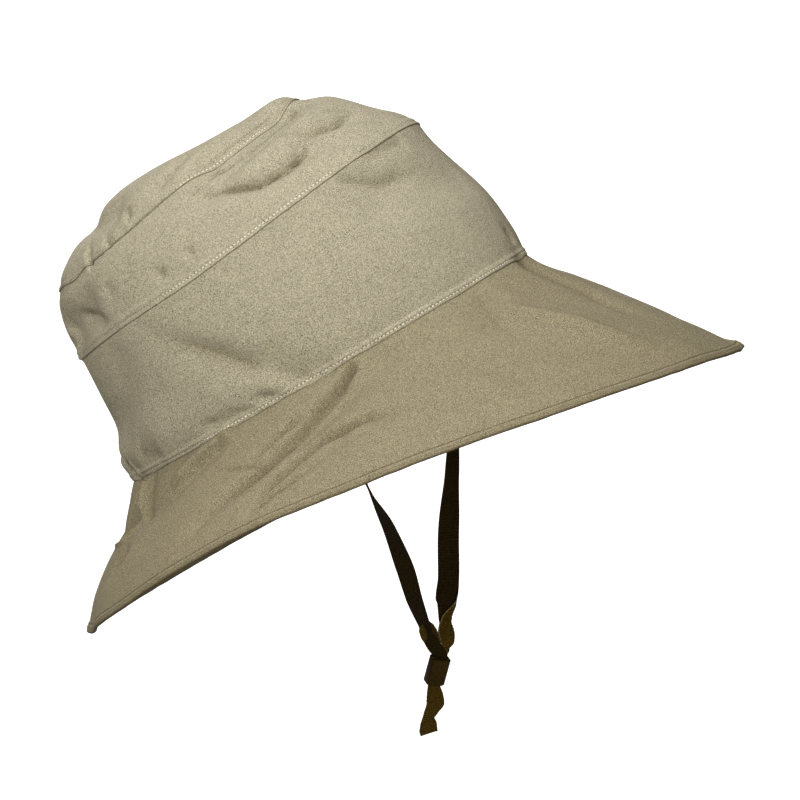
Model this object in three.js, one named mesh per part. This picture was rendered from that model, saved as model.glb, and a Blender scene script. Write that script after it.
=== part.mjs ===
import * as THREE from "three";

// A rain hat of thin coated cloth: an oval crown of three sewn panels, a wide sloping brim with a
// stitched hem, and a ribbon chin strap with a barrel slider. Millimetres, +Z up, front towards +X.
// The hat sits pitched back, front up, and the strap hangs straight down from it.
// The origin is the middle of the head opening, where crown and brim meet.

const pitch = 33.6; // degrees, how far the front is raised
const wall = 1.3; // cloth wall of crown and brim
const gap = 0.45; // clear space between pieces that touch on the real hat
const lapStep = wall + gap; // how far a panel's lower edge stands out over the next panel
const anglesRound = 78; // steps round the hat
const rimLean = 13.5; // how much lower the left side of the brim hangs than the right
const brimSag = 1.2; // how far the brim swings from a straight slope, in then out
const hemWidth = 4.3; // the folded edge of the brim
const hemProud = 0.5; // how far the hem stands out over the brim on each face
const hemThick = 3;
const hemRound = 0.9; // how much the hem's lower edge is rounded off

// Rings of the crown from the top down, level or sloping ovals, in the hat's own frame.
const rings = [
  { name: "crown top", frontX: -8, backX: -32, halfWidth: 8, frontZ: 116, sideZ: 117, backZ: 117 },
  { name: "top flat", frontX: 12, backX: -50, halfWidth: 30, frontZ: 115, sideZ: 116, backZ: 115.5 },
  { name: "top round", frontX: 32, backX: -70, halfWidth: 47, frontZ: 114, sideZ: 111, backZ: 109.5 },
  { name: "top edge", frontX: 41, backX: -88, halfWidth: 57, frontZ: 113.4, sideZ: 101, backZ: 98.4 },
  { name: "tip seam", frontX: 46, backX: -95.5, halfWidth: 60, frontZ: 110, sideZ: 95.8, backZ: 90.8 },
  { name: "upper bulge", frontX: 61, backX: -99.5, halfWidth: 67, frontZ: 104.5, sideZ: 89, backZ: 85 },
  { name: "upper middle", frontX: 76, backX: -102, halfWidth: 73, frontZ: 91, sideZ: 78, backZ: 73 },
  { name: "band seam", frontX: 90, backX: -101.2, halfWidth: 79.5, frontZ: 73.5, sideZ: 61.5, backZ: 60 },
  { name: "lower top", frontX: 95, backX: -102, halfWidth: 83, frontZ: 54, sideZ: 45, backZ: 40 },
  { name: "lower middle", frontX: 101, backX: -103.3, halfWidth: 85.5, frontZ: 33, sideZ: 28, backZ: 24 },
  { name: "lower bulge", frontX: 103.5, backX: -111.3, halfWidth: 87.5, frontZ: 14.5, sideZ: 11, backZ: 12.5 },
  { name: "brim seam", frontX: 104, backX: -109.5, halfWidth: 87, frontZ: -1, sideZ: -1.3, backZ: 1 },
];
const seams = ["crown top", "tip seam", "band seam", "brim seam"];

// The brim at even steps from the front round to the back: how far out and how far down it goes.
const brimSections = [
  { place: "front", reach: 59, drop: 80.5 },
  { place: "front quarter", reach: 62, drop: 70.5 },
  { place: "side", reach: 60, drop: 50.5 },
  { place: "back quarter", reach: 57, drop: 48.5 },
  { place: "back", reach: 51, drop: 49 },
];

// Dents and folds. A place is [degrees from the front, level], where level 0 to 1 is the tip,
// 1 to 2 the upper band, 2 to 3 the lower band and 3 to 4 the brim. The right side is negative.
const folds = [
  { name: "tip edge sag", line: [[-46, 1.06], [-12, 1]], width: 12.5, depth: -6.2 },
  { name: "tip back dent", line: [[-104, 0.56], [-135, 0.5], [-165, 0.42]], width: 9, depth: -4.5 },
  { name: "tip back bulge", line: [[-138, 0.86], [-158, 0.78]], width: 10, depth: 1 },
  { name: "tip front bulge", line: [[2, 0.62], [16, 0.66]], width: 10, depth: 2 },
  { name: "tip front dip", line: [[-20, 0.2], [20, 0.15]], width: 12, depth: -1.3 },
  { name: "tip crease", line: [[-72, 0.62], [-58, 0.46]], width: 6, depth: -2.2 },
  { name: "tip left dent", line: [[55, 0.55], [100, 0.7]], width: 9, depth: -3 },
  { name: "tip back hollow", line: [[150, 0.6], [172, 0.72]], width: 10, depth: -2.5 },
  { name: "upper valley", line: [[-62, 1.36], [-30, 1.33], [2, 1.2]], width: 6, depth: -2.6 },
  { name: "upper long fold", line: [[-62, 1.43], [-50, 1.7], [-25, 1.74]], width: 6, depth: -2.6 },
  { name: "upper top fold", line: [[-27, 1.4], [-22, 1.62], [-7, 1.7]], width: 5, depth: -1.6 },
  { name: "upper back dent", line: [[-122, 1.62], [-140, 1.72]], width: 9, depth: -4 },
  { name: "upper left fold", line: [[62, 1.4], [84, 1.66], [112, 1.62]], width: 8, depth: -3 },
  { name: "upper back fold", line: [[168, 1.35], [190, 1.7]], width: 9, depth: -3 },
  { name: "lower back turn", line: [[-122, 2.2], [-136, 2.5], [-140, 2.8]], width: 12, depth: -2.5 },
  { name: "lower tuck", line: [[-156, 2.66], [-143, 2.96]], width: 5, depth: -3.5 },
  { name: "lower side pull", line: [[-78, 2.68], [-68, 3]], width: 7, depth: -1.8 },
  { name: "lower front hollow", line: [[-28, 2.25], [0, 2.38]], width: 11, depth: -2 },
  { name: "lower left hollow", line: [[70, 2.5], [100, 2.75]], width: 12, depth: -2.5 },
  { name: "lower back fold", line: [[150, 2.35], [164, 2.75]], width: 10, depth: -3 },
  { name: "brim long fold", line: [[-66, 3.2], [-84, 3.5], [-100, 3.7]], width: 7, depth: -2.6 },
  { name: "brim inner fold", line: [[-100, 3.08], [-118, 3.3], [-139, 3.34]], width: 7, depth: -2.6 },
  { name: "brim outer fold", line: [[-69, 3.6], [-87, 3.7]], width: 7, depth: -2 },
  { name: "brim front fold", line: [[-54, 3.1], [-76, 3.42]], width: 7, depth: -2.2 },
  { name: "brim back crease", line: [[-128, 3.08], [-126, 3.32]], width: 6, depth: -2 },
  { name: "brim front ridge", line: [[-23, 3.12], [-14, 3.5]], width: 12, depth: 2 },
  { name: "brim tip ridge", line: [[-14, 3.5], [-4, 3.88]], width: 12, depth: 1.6 },
  { name: "brim left fold", line: [[58, 3.12], [80, 3.5], [98, 3.72]], width: 9, depth: -3.2 },
  { name: "brim left ridge", line: [[30, 3.2], [38, 3.8]], width: 14, depth: 2.4 },
  { name: "brim back fold", line: [[128, 3.12], [140, 3.7]], width: 10, depth: -3 },
  { name: "brim nape fold", line: [[176, 3.15], [170, 3.75]], width: 10, depth: -2.4 },
  { name: "brim front hollow", line: [[20, 3.06], [42, 3.2]], width: 13, depth: -2 },
  { name: "upper front dent", line: [[20, 1.56], [32, 1.54]], width: 8, depth: -1.4 },
  { name: "upper front bulge", line: [[8, 1.86], [18, 1.88]], width: 8, depth: 1.4 },
  { name: "lower front dent", line: [[22, 2.1], [32, 2.12]], width: 8, depth: -1.2 },
  { name: "brim back hollow", line: [[-162, 3.2], [-146, 3.38]], width: 8, depth: -2.2 },
  { name: "rim back dent", line: [[-158, 3.88], [-154, 3.98]], width: 9, depth: -2.2 },
  { name: "rim side dent", line: [[-146, 3.9], [-139, 4]], width: 9, depth: -1.8 },
  { name: "rim front lift", line: [[20, 3.97], [23, 3.99]], width: 4.5, depth: 2.2 },
];

// Rows of each cloth panel from its hidden upper edge down: [level, how far it stands out].
const tipRows = [[0, 0], [0.25, 0], [0.5, 0], [0.68, 0], [0.82, 0], [0.91, 0],
  [0.94, lapStep], [1, lapStep]];
const upperRows = [[0.95, 0], [1, 0], [1.25, 0], [1.5, 0], [1.72, 0], [1.8, 0],
  [1.87, lapStep], [2, lapStep]];
const lowerRows = [[1.9, 0], [2, 0], [2.2, 0], [2.42, 0], [2.64, 0], [2.82, 0], [2.9, 0],
  [2.93, lapStep], [2.985, lapStep]];
const brimRows = [[2.945, 0], [3, 0], [3.12, 0], [3.28, 0], [3.44, 0], [3.6, 0], [3.76, 0]];

// The chin strap. Each strand, from the sewn end inside the brim seam down to the slider: how far
// forward, how far to the side, how high, the ribbon's width and how far it is turned round.
const ribbonThick = 0.9;
const strapTop = [
  { x: 18.3, side: 78.4, z: 25, width: 10, turnRight: 14, turnLeft: 14 },
  { x: 24.2, side: 78.8, z: 16, width: 10, turnRight: 12, turnLeft: 12 },
  { x: 29, side: 76, z: 4, width: 10, turnRight: -14, turnLeft: -20 },
  { x: 32.5, side: 69, z: -9, width: 10, turnRight: -40, turnLeft: -52 },
  { x: 35.2, side: 60, z: -23, width: 10, turnRight: -54, turnLeft: -72 },
  { x: 37.8, side: 48.7, z: -40, width: 10, turnRight: -56, turnLeft: -80 },
  { x: 41.3, side: 37.1, z: -59, width: 10, turnRight: -33, turnLeft: -66 },
  { x: 44.7, side: 25.5, z: -82, width: 10, turnRight: -16, turnLeft: -36 },
];
const strapRight = [
  ...strapTop.map((station) => ({ ...station, turn: station.turnRight })),
  { x: 47.3, side: 18, z: -101, width: 9.4, turn: -14 },
  { x: 48.7, side: 9, z: -116, width: 8, turn: -20 },
  { x: 50.2, side: 3.2, z: -126, width: 6.2, turn: 28 },
  { x: 53.1, side: 0.55, z: -131.6, width: 5.6, turn: 45 },
  { x: 52.3, side: 0.48, z: -134.4, width: 5.6, turn: 45 },
  { x: 51.3, side: 0.48, z: -138, width: 5.6, turn: 45 },
];
const strapLeft = [
  ...strapTop.map((station) => ({ ...station, turn: station.turnLeft })),
  { x: 48.6, side: 18, z: -101, width: 9.6, turn: -20 },
  { x: 50.5, side: 9, z: -116, width: 8.6, turn: -24 },
  { x: 53.2, side: 3.8, z: -125.6, width: 7, turn: -40 },
  { x: 52, side: 0.6, z: -131.6, width: 5.6, turn: -45 },
  { x: 51.35, side: 0.48, z: -134.4, width: 5.6, turn: -45 },
  { x: 50.35, side: 0.48, z: -138, width: 5.6, turn: -45 },
];
const strapTail = [
  { x: 50.3, side: 0, z: -139.8, width: 5.6, turn: -45 },
  { x: 49.1, side: 0, z: -145.6, width: 5.6, turn: -42 },
  { x: 49.7, side: 0, z: -151.5, width: 7.8, turn: -25 },
  { x: 49.8, side: 0, z: -154.4, width: 8.4, turn: -22 },
  { x: 48.3, side: 0, z: -158, width: 6.4, turn: -22 },
  { x: 46.6, side: 0, z: -161.8, width: 5.3, turn: -22 },
  { x: 46.6, side: 0, z: -165.2, width: 7.4, turn: -22 },
  { x: 46.5, side: 0, z: -170, width: 8.6, turn: -22 },
];
const slider = { x: 50.7, z: -138.5, width: 8.4, depth: 6, height: 12.2, tilt: 15, turn: 45, corner: 1.9 };
const sliderSlot = { width: 7, depth: 3.3, corner: 1.65 };

const rad = THREE.MathUtils.degToRad;
const clothColour = 0x8f8564;
const crownColour = 0xa69d7c;
const ribbonColour = 0x1d1a12;

// A value given at even steps from the front round to the back, as a smooth curve round the hat.
function roundTheHat(values, angle) {
  const n = values.length - 1;
  let sum = 0;
  for (let k = 0; k <= n; k++) {
    let wave = 0;
    for (let j = 0; j <= n; j++)
      wave += (j === 0 || j === n ? 0.5 : 1) * values[j] * Math.cos((Math.PI * k * j) / n);
    sum += (k === 0 || k === n ? 1 : 2) * wave * Math.cos(k * angle);
  }
  return sum / n;
}

function ringPoint(ring, angle) {
  const middle = (ring.frontX + ring.backX) / 2;
  const halfLength = (ring.frontX - ring.backX) / 2;
  return new THREE.Vector3(
    middle + halfLength * Math.cos(angle),
    ring.halfWidth * Math.sin(angle),
    roundTheHat([ring.frontZ, ring.sideZ, ring.backZ], angle),
  );
}

const seamRing = rings[rings.length - 1];
const reaches = brimSections.map((section) => section.reach);
const drops = brimSections.map((section) => section.drop);

// How far out and down the brim goes at one angle, and its length along the cloth.
function brimSlope(angle) {
  const reach = roundTheHat(reaches, angle);
  const lean = (rimLean * Math.sin(angle) * (1 + Math.cos(angle))) / 1.3;
  const drop = roundTheHat(drops, angle) + lean;
  return { reach, drop, slope: Math.hypot(reach, drop) };
}

function brimPoint(angle, share) {
  const point = ringPoint(seamRing, angle);
  const out = new THREE.Vector3(
    (2 * Math.cos(angle)) / (seamRing.frontX - seamRing.backX),
    Math.sin(angle) / seamRing.halfWidth,
    0,
  ).normalize();
  const { reach, drop, slope } = brimSlope(angle);
  const sag = brimSag * Math.sin(2 * Math.PI * share);
  point.addScaledVector(out, reach * share - (sag * drop) / slope);
  point.z -= drop * share + (sag * reach) / slope;
  return point;
}

// The smooth surface before folds: a curve down through the rings of one panel, or the brim.
function plainPoint(angle, level) {
  if (level > 3) return brimPoint(angle, level - 3);
  const panel = Math.max(0, Math.ceil(level) - 1);
  const first = rings.findIndex((ring) => ring.name === seams[panel]);
  const last = rings.findIndex((ring) => ring.name === seams[panel + 1]);
  const along = (level - panel) * (last - first);
  const row = Math.min(last - first - 1, Math.floor(along));
  const at = (i) => ringPoint(rings[i], angle);
  const start = at(first + row);
  const end = at(first + row + 1);
  const before = row > 0 ? at(first + row - 1) : start.clone().multiplyScalar(2).sub(end);
  const after = first + row + 2 <= last ? at(first + row + 2) : end.clone().multiplyScalar(2).sub(start);
  const t = along - row;
  const curve = (a, b, c, d) =>
    0.5 * (2 * b + (c - a) * t + (2 * a - 5 * b + 4 * c - d) * t * t + (3 * b - a - 3 * c + d) * t ** 3);
  return new THREE.Vector3(
    curve(before.x, start.x, end.x, after.x),
    curve(before.y, start.y, end.y, after.y),
    curve(before.z, start.z, end.z, after.z),
  );
}

function normalOf(surface, angle, level) {
  const step = 0.01;
  const panel = Math.max(0, Math.ceil(level) - 1);
  const upper = Math.max(level - step, panel + 1e-6);
  const round = surface(angle + step, level).sub(surface(angle - step, level));
  const down = surface(angle, Math.max(level + step, upper + step)).sub(surface(angle, upper));
  return new THREE.Vector3().crossVectors(down, round).normalize();
}

// Points along each fold on the plain surface, so that a distance to the fold can be measured.
const foldPaths = folds.map(({ line }) => {
  const path = [];
  for (let i = 0; i + 1 < line.length; i++)
    for (let k = 0; k <= 6; k++) {
      const [angle, level] = line[i].map((value, j) => THREE.MathUtils.lerp(value, line[i + 1][j], k / 6));
      path.push(plainPoint(rad(angle), level));
    }
  return path;
});

function foldDepth(point) {
  let depth = 0;
  const nearest = new THREE.Vector3();
  const stretch = new THREE.Line3();
  folds.forEach((fold, i) => {
    let away = Infinity;
    for (let k = 0; k + 1 < foldPaths[i].length; k++) {
      stretch.set(foldPaths[i][k], foldPaths[i][k + 1]);
      if (stretch.distanceSq() < 1e-9) continue;
      stretch.closestPointToPoint(point, true, nearest);
      away = Math.min(away, nearest.distanceTo(point));
    }
    depth += fold.depth * Math.exp(-((away / fold.width) ** 2));
  });
  return depth;
}

function clothPoint(angle, level) {
  const point = plainPoint(angle, level);
  return point.addScaledVector(normalOf(plainPoint, angle, level), foldDepth(point));
}

// A closed mesh from loops of points: every loop is one cross-section, the same number in each.
function meshOfLoops(name, loops, colour, closedRound) {
  const count = loops[0].length;
  const positions = loops.flat().flatMap((p) => [p.x, p.y, p.z]);
  const index = [];
  const last = closedRound ? loops.length : loops.length - 1;
  for (let i = 0; i < last; i++)
    for (let j = 0; j < count; j++) {
      const a = i * count + j;
      const b = i * count + ((j + 1) % count);
      const c = ((i + 1) % loops.length) * count + ((j + 1) % count);
      const d = ((i + 1) % loops.length) * count + j;
      index.push(a, b, c, a, c, d);
    }
  if (!closedRound)
    for (let j = 1; j + 1 < count; j++) {
      const end = (loops.length - 1) * count;
      index.push(0, j + 1, j, end, end + j, end + j + 1);
    }
  return namedMesh(name, positions, index, colour);
}

function namedMesh(name, positions, index, colour) {
  const geometry = new THREE.BufferGeometry();
  geometry.setAttribute("position", new THREE.Float32BufferAttribute(positions, 3));
  geometry.setIndex(index);
  geometry.computeVertexNormals();
  const material = new THREE.MeshStandardMaterial({ color: colour, roughness: 0.8, metalness: 0 });
  const mesh = new THREE.Mesh(geometry, material);
  mesh.name = name;
  return mesh;
}

// The two faces of a cloth wall at one angle: the outer face down, then the inner face back up.
function wallSection(rows, angle, thick) {
  const outer = [];
  const inner = [];
  for (const [level, out] of rows) {
    const point = clothPoint(angle, level);
    const normal = normalOf(clothPoint, angle, level);
    outer.push(point.clone().addScaledVector(normal, out));
    inner.unshift(point.addScaledVector(normal, out - thick));
  }
  return [...outer, ...inner];
}

const allAngles = Array.from({ length: anglesRound }, (_, i) => (2 * Math.PI * i) / anglesRound);

function clothBand(name, rowsAt, colour) {
  const loops = allAngles.map((angle) => wallSection(rowsAt(angle), angle, wall));
  return meshOfLoops(name, loops, colour, true);
}

// The tip closes over the top, so both its faces end in a fan round the middle.
function crownTip() {
  const loops = allAngles.map((angle) => wallSection(tipRows, angle, wall));
  const count = loops[0].length;
  const positions = loops.flat().flatMap((p) => [p.x, p.y, p.z]);
  const middle = new THREE.Vector3();
  loops.forEach((loop) => middle.addScaledVector(loop[0], 1 / anglesRound));
  const top = anglesRound * count;
  positions.push(middle.x, middle.y, middle.z, middle.x, middle.y, middle.z - wall);
  const index = [];
  for (let i = 0; i < anglesRound; i++) {
    const here = i * count;
    const next = ((i + 1) % anglesRound) * count;
    for (let j = 0; j + 1 < count; j++)
      index.push(here + j, here + j + 1, next + j + 1, here + j, next + j + 1, next + j);
    index.push(top, here, next, top + 1, next + count - 1, here + count - 1);
  }
  return namedMesh("crown_tip", positions, index, crownColour);
}

// The level where the brim's single cloth ends and its hem begins.
function hemLevel(angle) {
  return 4 - hemWidth / brimSlope(angle).slope;
}

// The folded edge round the rim: a strip with a rounded lower edge, just past the brim's cut edge.
function brimHem() {
  const loops = allAngles.map((angle) => {
    const top = clothPoint(angle, hemLevel(angle));
    const rim = clothPoint(angle, 4);
    const normal = normalOf(clothPoint, angle, 3.98);
    const down = rim.clone().sub(top).normalize();
    const inner = hemProud - hemThick;
    const place = (start, along, out) =>
      start.clone().addScaledVector(down, along).addScaledVector(normal, out);
    return [
      place(top, gap, hemProud),
      place(rim, -hemRound, hemProud),
      place(rim, 0, hemProud - hemRound),
      place(rim, 0, inner + hemRound),
      place(rim, -hemRound, inner),
      place(top, gap, inner),
    ];
  });
  return meshOfLoops("brim_hem", loops, clothColour, true);
}

// A flat ribbon along stations, turned round the upright as each station says.
function ribbon(name, stations, hand, steps) {
  const centre = new THREE.CatmullRomCurve3(
    stations.map(({ x, side, z }) => new THREE.Vector3(x, hand * side, z)),
    false,
    "centripetal",
  );
  const loops = [];
  for (let i = 0; i <= steps; i++) {
    const t = i / steps;
    const place = t * (stations.length - 1);
    const k = Math.min(stations.length - 2, Math.floor(place));
    const mix = (key) => THREE.MathUtils.lerp(stations[k][key], stations[k + 1][key], place - k);
    const turn = rad(-hand * mix("turn"));
    const along = centre.getTangent(t);
    const across = new THREE.Vector3(Math.cos(turn), Math.sin(turn), 0);
    across.addScaledVector(along, -across.dot(along)).normalize();
    const face = new THREE.Vector3().crossVectors(along, across);
    across.multiplyScalar(mix("width") / 2);
    face.multiplyScalar(ribbonThick / 2);
    const corner = (side, level) =>
      centre.getPoint(t).addScaledVector(across, side).addScaledVector(face, level);
    loops.push([corner(-1, -1), corner(1, -1), corner(1, 1), corner(-1, 1)]);
  }
  return meshOfLoops(name, loops, ribbonColour, false);
}

// The slider: a barrel with rounded corners and a slot right through it for the ribbons.
function strapSlider() {
  const outlineOf = ({ width, depth, corner }) => {
    const steps = 4;
    const points = [];
    for (let quarter = 0; quarter < 4; quarter++)
      for (let i = 0; i <= steps; i++) {
        const angle = (Math.PI / 2) * (quarter + i / steps);
        const x = (quarter % 3 === 0 ? 1 : -1) * (width / 2 - corner);
        const y = (quarter < 2 ? 1 : -1) * (depth / 2 - corner);
        const point = new THREE.Vector2(x + corner * Math.cos(angle), y + corner * Math.sin(angle));
        if (!points.some((other) => other.distanceTo(point) < 1e-6)) points.push(point);
      }
    return points;
  };
  const outline = new THREE.Shape(outlineOf(slider));
  outline.holes.push(new THREE.Path(outlineOf(sliderSlot)));
  const bevel = 0.2;
  const geometry = new THREE.ExtrudeGeometry(outline, {
    depth: slider.height - 2 * bevel,
    bevelThickness: bevel,
    bevelSize: bevel,
    bevelOffset: -bevel,
    bevelSegments: 1,
  });
  geometry.translate(0, 0, bevel - slider.height / 2);
  const material = new THREE.MeshStandardMaterial({ color: 0x2b2719, roughness: 0.35, metalness: 0 });
  const mesh = new THREE.Mesh(geometry, material);
  mesh.name = "strap_slider";
  mesh.rotation.set(0, rad(slider.tilt), rad(slider.turn));
  mesh.position.set(slider.x, 0, slider.z);
  return mesh;
}

const hat = new THREE.Group();
hat.add(crownTip());
hat.add(clothBand("upper_crown_band", () => upperRows, crownColour));
hat.add(clothBand("lower_crown_band", () => lowerRows, crownColour));
hat.add(clothBand("brim", (angle) => [...brimRows, [hemLevel(angle), 0]], clothColour));
hat.add(brimHem());
hat.rotation.y = -rad(pitch);

const rainHat = new THREE.Group();
rainHat.add(hat);
rainHat.add(ribbon("strap_right", strapRight, -1, 36));
rainHat.add(ribbon("strap_left", strapLeft, 1, 36));
rainHat.add(ribbon("strap_tail", strapTail, 1, 18));
rainHat.add(strapSlider());

export default rainHat;
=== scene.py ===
import math
import bpy
import numpy as np
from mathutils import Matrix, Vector, noise


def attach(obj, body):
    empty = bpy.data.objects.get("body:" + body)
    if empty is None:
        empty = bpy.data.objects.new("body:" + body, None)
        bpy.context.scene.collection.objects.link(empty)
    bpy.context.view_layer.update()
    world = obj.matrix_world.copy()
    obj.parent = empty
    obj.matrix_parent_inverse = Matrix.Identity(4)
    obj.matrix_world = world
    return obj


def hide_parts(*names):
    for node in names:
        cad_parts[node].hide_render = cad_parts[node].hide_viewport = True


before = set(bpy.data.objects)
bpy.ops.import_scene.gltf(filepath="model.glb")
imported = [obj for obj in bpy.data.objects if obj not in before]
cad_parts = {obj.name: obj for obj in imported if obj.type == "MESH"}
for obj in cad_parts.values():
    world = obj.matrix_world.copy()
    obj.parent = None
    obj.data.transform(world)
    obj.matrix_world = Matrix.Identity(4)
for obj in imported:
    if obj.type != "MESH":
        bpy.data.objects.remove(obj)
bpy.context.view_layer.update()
print("frame loaded:", sorted(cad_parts))


view = {"azimuth": 23.4, "elevation": 15.9, "distance": 1.9, "aside": 0.02966, "below": 0.01616,
        "lens": 190, "sensor": 36}


def viewAxes():
    a = math.radians(view["azimuth"])
    e = math.radians(view["elevation"])
    right = Vector((math.cos(a), math.sin(a), 0))
    back = Vector((math.sin(a) * math.cos(e), -math.cos(a) * math.cos(e), math.sin(e)))
    return right, back.cross(right), back


def addCamera():
    right, up, back = viewAxes()
    place = back * view["distance"] + right * view["aside"] - up * view["below"]
    bpy.ops.object.camera_add(location=place, rotation=back.to_track_quat("Z", "Y").to_euler())
    camera = bpy.context.object
    camera.name = "photoCamera"
    camera.data.lens = view["lens"]
    camera.data.sensor_width = view["sensor"]
    bpy.context.scene.camera = camera


# each lamp: how far right, up and back from the hat as the camera sees it, its size and its power
lamps = {
    "keyLight": {"place": (-0.78, 1.05, 1.4), "size": 0.45, "power": 31, "colour": (1, 1, 1.04)},
    "fillLight": {"place": (0.65, 0.15, 2.05), "size": 1.0, "power": 17, "colour": (1, 1, 1)},
    "topLight": {"place": (-0.1, 1.9, 0.35), "size": 0.7, "power": 20, "colour": (1, 1.02, 1.16)},
    "backLight": {"place": (-0.3, 0.5, -2.1), "size": 1.0, "power": 18, "colour": (1, 1, 1)},
}
room = {"worldColour": (1.0, 0.84, 0.55, 1), "worldStrength": 0.16, "floorHeight": -0.30, "floorSize": 14,
        "floorColour": (0.4, 0.4, 0.4, 1), "floorRoughness": 0.9}


def addLights():
    right, up, back = viewAxes()
    for name, lamp in lamps.items():
        x, y, z = lamp["place"]
        place = right * x + up * y + back * z
        turn = place.to_track_quat("Z", "Y").to_euler()
        bpy.ops.object.light_add(type="AREA", location=place, rotation=turn)
        light = bpy.context.object
        light.name = name
        light.data.size = lamp["size"]
        light.data.energy = lamp["power"]
        light.data.color = lamp["colour"]
    world = bpy.context.scene.world or bpy.data.worlds.new("studio")
    bpy.context.scene.world = world
    world.use_nodes = True
    background = world.node_tree.nodes["Background"]
    # the surroundings look white and light the hat only a little, with a warm light
    nodes, links = world.node_tree.nodes, world.node_tree.links
    rays = nodes.new("ShaderNodeLightPath").outputs["Is Camera Ray"]
    seen = addMath(nodes, links, "MULTIPLY_ADD", rays, 1 - room["worldStrength"])
    seen.node.inputs[2].default_value = room["worldStrength"]
    links.new(seen, background.inputs["Strength"])
    tint = addNode(nodes, "ShaderNodeMix", {"data_type": "RGBA"})
    links.new(rays, tint.inputs["Factor"])
    tint.inputs[6].default_value = room["worldColour"]
    tint.inputs[7].default_value = (1, 1, 1, 1)
    links.new(tint.outputs[2], background.inputs["Color"])
    bpy.context.scene.view_settings.view_transform = "Standard"


def addFloor():
    bpy.ops.mesh.primitive_plane_add(size=room["floorSize"], location=(0, 0, room["floorHeight"]))
    bpy.ops.object.transform_apply(location=True, rotation=True, scale=True)
    floor = bpy.context.object
    floor.name = "floor"
    finish, nodes, links, shader = newFinish("paleFloor")
    shader.inputs["Base Color"].default_value = room["floorColour"]
    shader.inputs["Roughness"].default_value = room["floorRoughness"]
    # the floor looks white and still throws only soft light on the hat
    rays = nodes.new("ShaderNodeLightPath")
    links.new(rays.outputs["Is Camera Ray"], shader.inputs["Emission Color"])
    shader.inputs["Emission Strength"].default_value = 1
    floor.data.materials.append(finish)


def newFinish(name):
    finish = bpy.data.materials.new(name)
    finish.use_nodes = True
    nodes = finish.node_tree.nodes
    return finish, nodes, finish.node_tree.links, nodes["Principled BSDF"]


def addNode(nodes, kind, settings=(), **inputs):
    node = nodes.new(kind)
    for key, value in dict(settings).items():
        setattr(node, key, value)
    for key, value in inputs.items():
        node.inputs[key].default_value = value
    return node


def addMath(nodes, links, operation, first, second):
    node = nodes.new("ShaderNodeMath")
    node.operation = operation
    for socket, value in zip(node.inputs, (first, second)):
        if isinstance(value, (int, float)):
            socket.default_value = value
        else:
            links.new(value, socket)
    return node.outputs[0]


grainNoise = {"grainDetail": 0.0, "mottleDetail": 3.0, "roughness": 0.65}


def makeGrainGroup():
    # a speckled yarn grain over slow mottling, as a tone about 1 and a height
    group = bpy.data.node_groups.new("yarnGrain", "ShaderNodeTree")
    group.interface.new_socket("Vector", in_out="INPUT", socket_type="NodeSocketVector")
    for name in ("Grain Scale", "Grain", "Mottle Scale", "Mottle"):
        group.interface.new_socket(name, in_out="INPUT", socket_type="NodeSocketFloat")
    for name in ("Tone", "Height"):
        group.interface.new_socket(name, in_out="OUTPUT", socket_type="NodeSocketFloat")
    nodes, links = group.nodes, group.links
    enter = nodes.new("NodeGroupInput")
    leave = nodes.new("NodeGroupOutput")
    for scale, amount, detail in (("Grain Scale", "Grain", grainNoise["grainDetail"]),
                                  ("Mottle Scale", "Mottle", grainNoise["mottleDetail"])):
        cloud = addNode(nodes, "ShaderNodeTexNoise", Detail=detail, Roughness=grainNoise["roughness"])
        links.new(enter.outputs["Vector"], cloud.inputs["Vector"])
        links.new(enter.outputs[scale], cloud.inputs["Scale"])
        centred = addMath(nodes, links, "SUBTRACT", cloud.outputs["Fac"], 0.5)
        total = addMath(nodes, links, "MULTIPLY_ADD", centred, enter.outputs[amount])
        if amount == "Grain":
            total.node.inputs[2].default_value = 1.0
            links.new(cloud.outputs["Fac"], leave.inputs["Height"])
            first = total
        else:
            links.new(first, total.node.inputs[2])
    links.new(total, leave.inputs["Tone"])
    return group


def toneColour(nodes, links, colour, tone):
    scaled = addNode(nodes, "ShaderNodeVectorMath", {"operation": "SCALE"})
    if isinstance(colour, tuple):
        scaled.inputs[0].default_value = colour
    else:
        links.new(colour, scaled.inputs[0])
    links.new(tone, scaled.inputs["Scale"])
    return scaled.outputs[0]


def placeGrain(nodes, links, grainGroup, look):
    # the grain at a finish's own scale, which follows the piece
    place = nodes.new("ShaderNodeTexCoord")
    grain = addNode(nodes, "ShaderNodeGroup", {"node_tree": grainGroup})
    for socket, key in (("Grain Scale", "grainScale"), ("Grain", "grain"),
                        ("Mottle Scale", "mottleScale"), ("Mottle", "mottle")):
        grain.inputs[socket].default_value = look[key]
    links.new(place.outputs["Object"], grain.inputs["Vector"])
    return grain, place


def surfaceLook(nodes, links, shader, height, look):
    bump = addNode(nodes, "ShaderNodeBump", Strength=look["bump"], Distance=look["bumpDistance"])
    links.new(height, bump.inputs["Height"])
    links.new(bump.outputs["Normal"], shader.inputs["Normal"])
    shader.inputs["Roughness"].default_value = look["roughness"]
    shader.inputs["Specular IOR Level"].default_value = look["specular"]


# each cloth's second colour is the painted shade colour, mixed in at crease bottoms and under the hem's roll
cloth = {
    "crownColour": (0.300, 0.271, 0.185), "crownShade": (0.140, 0.112, 0.058),
    "brimColour": (0.206, 0.178, 0.106), "brimShade": (0.090, 0.070, 0.034),
    "grainScale": 4400, "grain": 3.8, "mottleScale": 90, "mottle": 0.16,
    "roughness": 0.8, "specular": 0.15, "bump": 0.08, "bumpDistance": 0.0004,
}


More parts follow.
